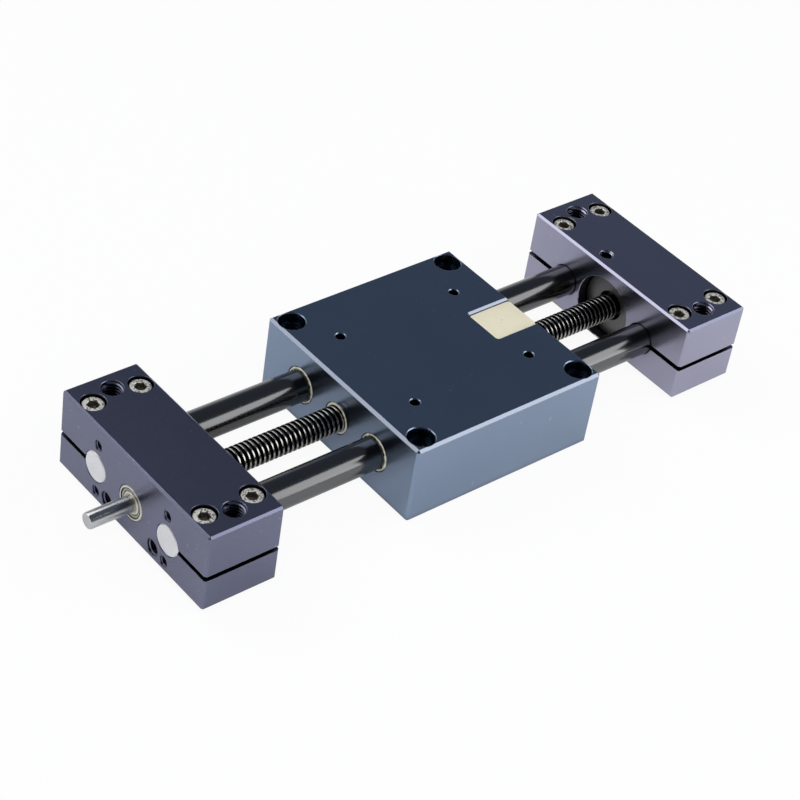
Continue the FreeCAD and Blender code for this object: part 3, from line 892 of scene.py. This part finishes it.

# The bevels round the carriage's top and along the slot are painted a greyer shade, as a painted highlight of
# the lamps on them.
edge_highlight_anodise = anodised("edge_highlight_anodise", (0.228, 0.256, 0.318), (0.252, 0.283, 0.348), 0.23)
carriage.data.materials.append(edge_highlight_anodise)
for face in carriage.data.polygons:
    sides_near = sum(min(at - least, most - at) < carriage_bevel
                     for at, least, most in zip(face.center, carriage_low, carriage_high))
    beside_slot = (face.center.x > slot_start - carriage_bevel
                   and abs(face.center.y) < slot_half + carriage_bevel)
    slot_lip = beside_slot and 0.5 < face.normal.z < 0.9
    if face.center.z > carriage_high.z - carriage_bevel and (sides_near > 1 or slot_lip):
        face.material_index = 1

# The liners are injection moulded from a cream sliding plastic: two on each shaft, held by a lug
# in the small holes of the carriage's top, and a thinner one that keeps the screw clean.


def moulded(name, colour, roughness, gap_shade_reach=None):
    """Matt moulded plastic with a slightly mottled skin, painted dark as painted shade where other parts
    close round it, unevenly in streaks.
    """
    gap_shade_black = (0.02, 0.019, 0.015)
    material, tree, shader, where = new_material(name)
    shader.inputs["Roughness"].default_value = roughness
    mottle = noise(tree, where, scale=420, detail=5)
    skin = shaded(tree, mottle, colour, darker=0.93, lighter=1.05)
    # Where other parts close in, the skin is painted dark as painted shade, unevenly in streaks.
    if gap_shade_reach:
        streaks = noise(tree, where, scale=700, detail=2)
        uneven = arithmetic(tree, "MULTIPLY_ADD", streaks, 0.9, openness(tree, gap_shade_reach))
        skin = mixed(tree, stretch(tree, uneven, 1.03, 1.17), gap_shade_black, skin)
    tree.links.new(skin, shader.inputs["Base Color"])
    raise_surface(tree, shader, mottle, strength=0.2, depth=0.00003, edges=soft_edges(tree, radius=0.0002))
    return material


liner_cream = moulded("liner_plastic", (0.90, 0.875, 0.73), 0.45, gap_shade_reach=0.0012)
for label in ("shaft_liner_left_drive", "shaft_liner_left_support", "shaft_liner_right_drive",
              "shaft_liner_right_support", "screw_guide_liner"):
    refinished(label, liner_cream)

# The nut is a block moulded from the same plastic, a shade paler. It fills the slot, and two
# small socket head screws from the end face hold it. The gate mark shows near its top's middle.
nut_cream = moulded("nut_plastic", (0.85, 0.795, 0.60), 0.5)
nut_corner = 0.0015
nut_top_bevel = 0.0004
nut_bore_radius = screw_radius + 0.00004
nut_screw_low, nut_screw_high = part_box("nut_screws")
nut_head_radius = 0.00275
nut_head_height = 0.003
nut_counterbore_radius = 0.003
nut_screw_y = nut_screw_high.y - nut_head_radius
nut_screw_z = (nut_screw_low.z + nut_screw_high.z) / 2
nut_middle = (nut_low + nut_high) / 2
gate_offset = 0.0005
gate_radius = 0.0009
gate_floor_radius = 0.0006
gate_depth = 0.0004
nut = slab(nut_low, nut_high)
nut.name = "nut"
bpy.ops.object.mode_set(mode="EDIT")
pick("EDGE", lambda spot: abs(spot.z - nut_middle.z) < hair and abs(spot.y) > nut_high.y * 0.9)
bpy.ops.mesh.bevel(offset=nut_corner, segments=5)
pick("FACE", lambda spot: spot.z > nut_high.z - hair)
bpy.ops.mesh.select_mode(type="EDGE")
bpy.ops.mesh.region_to_loop()
bpy.ops.mesh.bevel(offset=nut_top_bevel, segments=2)
bpy.ops.object.mode_set(mode="OBJECT")
gate = nut_middle + Vector((-gate_offset, gate_offset, 0))
cut(nut, [
    hole("X", on_axis, nut_high.x, -1, nut_bore_radius, nut_high.x - nut_low.x + overrun, flat=True),
    turned("bore", "Z", gate, [
        (nut_high.z + overrun, gate_radius),
        (nut_high.z - gate_depth, gate_floor_radius),
    ], sides=32),
])
for side in (-1, 1):
    cut(nut, [hole("X", (0, side * nut_screw_y, nut_screw_z), nut_high.x, -1, nut_counterbore_radius,
                   nut_head_height, fine_rim, flat=True)])
finished(nut, nut_cream, "carriage", "nut_plastic", "lead_screw_nut")
nut_pattern = socket_screw("nut_pattern", nut_head_radius, nut_head_height, key=0.0025,
                           shank_radius=0.0015, shank_length=0.0245, pitch=0.0005)
for number, side in enumerate((-1, 1), 1):
    seat = (nut_screw_high.x - nut_head_height, side * nut_screw_y, nut_screw_z)
    screw = driven_in(nut_pattern, f"nut_screw_{number}", seat, (1, 0, 0))
    finished(screw, stainless, "carriage", "stainless_steel", "nut_screws", angle=24)
bpy.data.objects.remove(nut_pattern)

# The studio: a white paper floor, a large soft box behind the table on the left, a smaller one low on the
# right, a fill light behind the camera, and a dim room above a white horizon. In reflections the paper
# carries a painted light that brightens from the drive end to the support end.
lamp_distance = 1.6


def lamp(name, azimuth, elevation, width, radiance, mirrored=True):
    """A square soft box that faces the table. Azimuth and elevation are seen from the table. The
    fill light is kept out of the reflections, as a polariser does it."""
    turn = math.radians(azimuth)
    rise = math.radians(elevation)
    out = Vector((math.cos(turn) * math.cos(rise), math.sin(turn) * math.cos(rise), math.sin(rise)))
    light = bpy.data.lights.new(name, "AREA")
    light.shape = "SQUARE"
    light.size = width
    light.energy = radiance * math.pi * width * width
    box = bpy.data.objects.new(name, light)
    box.location = out * lamp_distance
    box.rotation_euler = out.to_track_quat("Z", "Y").to_euler()
    box.visible_camera = False
    box.visible_glossy = mirrored
    bpy.context.scene.collection.objects.link(box)


lamp("soft_box_right", azimuth=-42, elevation=26.5, width=1.25, radiance=2.15)
lamp("soft_box_left", azimuth=120, elevation=50, width=1.45, radiance=1.75)
lamp("fill_light", azimuth=-125, elevation=52, width=1.2, radiance=3.0, mirrored=False)

dark_wall = (0.030, 0.034, 0.042)
pale_wall = (0.098, 0.118, 0.155)
horizon = (0.72, 0.74, 0.78)
world = bpy.data.worlds.new("room")
bpy.context.scene.world = world
world.use_nodes = True
tree = world.node_tree
outlook = tree.nodes.new("ShaderNodeSeparateXYZ")
tree.links.new(tree.nodes.new("ShaderNodeTexCoord").outputs["Generated"], outlook.inputs["Vector"])
walls = mixed(tree, stretch(tree, outlook.outputs["X"], -0.4, 0.3, smooth=True), dark_wall, pale_wall)
room = mixed(tree, stretch(tree, outlook.outputs["Z"], 0, 0.5, smooth=True), horizon, walls)
rays = tree.nodes.new("ShaderNodeLightPath")
backdrop = mixed(tree, rays.outputs["Is Camera Ray"], room, (1, 1, 1))
tree.links.new(backdrop, tree.nodes["Background"].inputs["Color"])

floor_radius = 12
floor_z = -0.0002
bpy.ops.object.select_all(action="DESELECT")
bpy.ops.mesh.primitive_circle_add(vertices=128, radius=floor_radius, fill_type="NGON",
                                  location=(0, 0, floor_z))
floor = bpy.context.object
floor.name = "floor"
paper, tree, shader, where = new_material("white_sweep")
shader.inputs["Base Color"].default_value = (0.9, 0.9, 0.92, 1)
shader.inputs["Roughness"].default_value = 0.9
shader.inputs["Specular IOR Level"].default_value = 0.1
rays = tree.nodes.new("ShaderNodeLightPath")
mirror_rays = arithmetic(tree, "MAXIMUM", rays.outputs["Is Glossy Ray"], rays.outputs["Is Transmission Ray"])
place = tree.nodes.new("ShaderNodeSeparateXYZ")
tree.links.new(where, place.inputs["Vector"])
# In reflections the paper is given a painted light that grows from the drive end to the support end.
painted_light_ramp = stretch(tree, place.outputs["X"], -0.13, 0.12, most=0.5)
painted_light_share = arithmetic(tree, "MULTIPLY", mirror_rays, painted_light_ramp)
white_share = arithmetic(tree, "MULTIPLY_ADD", rays.outputs["Is Camera Ray"], 0.93, painted_light_share)
white = tree.nodes.new("ShaderNodeEmission")
white.inputs["Color"].default_value = (1, 1, 1, 1)
blend = tree.nodes.new("ShaderNodeMixShader")
tree.links.new(white_share, blend.inputs["Fac"])
tree.links.new(shader.outputs["BSDF"], blend.inputs[1])
tree.links.new(white.outputs["Emission"], blend.inputs[2])
tree.links.new(blend.outputs["Shader"], tree.nodes["Material Output"].inputs["Surface"])
floor.data.materials.append(paper)
floor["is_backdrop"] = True

# The camera stands where the photograph's did, with the same long lens and the same slight roll.
# It looks down on the drive end from in front, so that the table runs away from it to the right.
camera = bpy.data.objects.new("camera", bpy.data.cameras.new("camera"))
bpy.context.scene.collection.objects.link(camera)
bpy.context.scene.camera = camera
camera_azimuth = math.radians(-45.24)
camera_elevation = math.radians(38.83)
camera_roll = math.radians(9.73)
camera_place = Vector((-0.46993, -0.45338, 0.53020))
turn = (Matrix.Rotation(camera_azimuth, 4, "Z") @ Matrix.Rotation(math.pi / 2 - camera_elevation, 4, "X")
        @ Matrix.Rotation(camera_roll, 4, "Z"))
camera.matrix_world = Matrix.Translation(camera_place) @ turn
camera.data.sensor_width = 36
camera.data.lens = 103.95
camera.data.clip_start = 0.01
camera.data.clip_end = 100
bpy.context.scene.view_settings.view_transform = "Standard"

low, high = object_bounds()
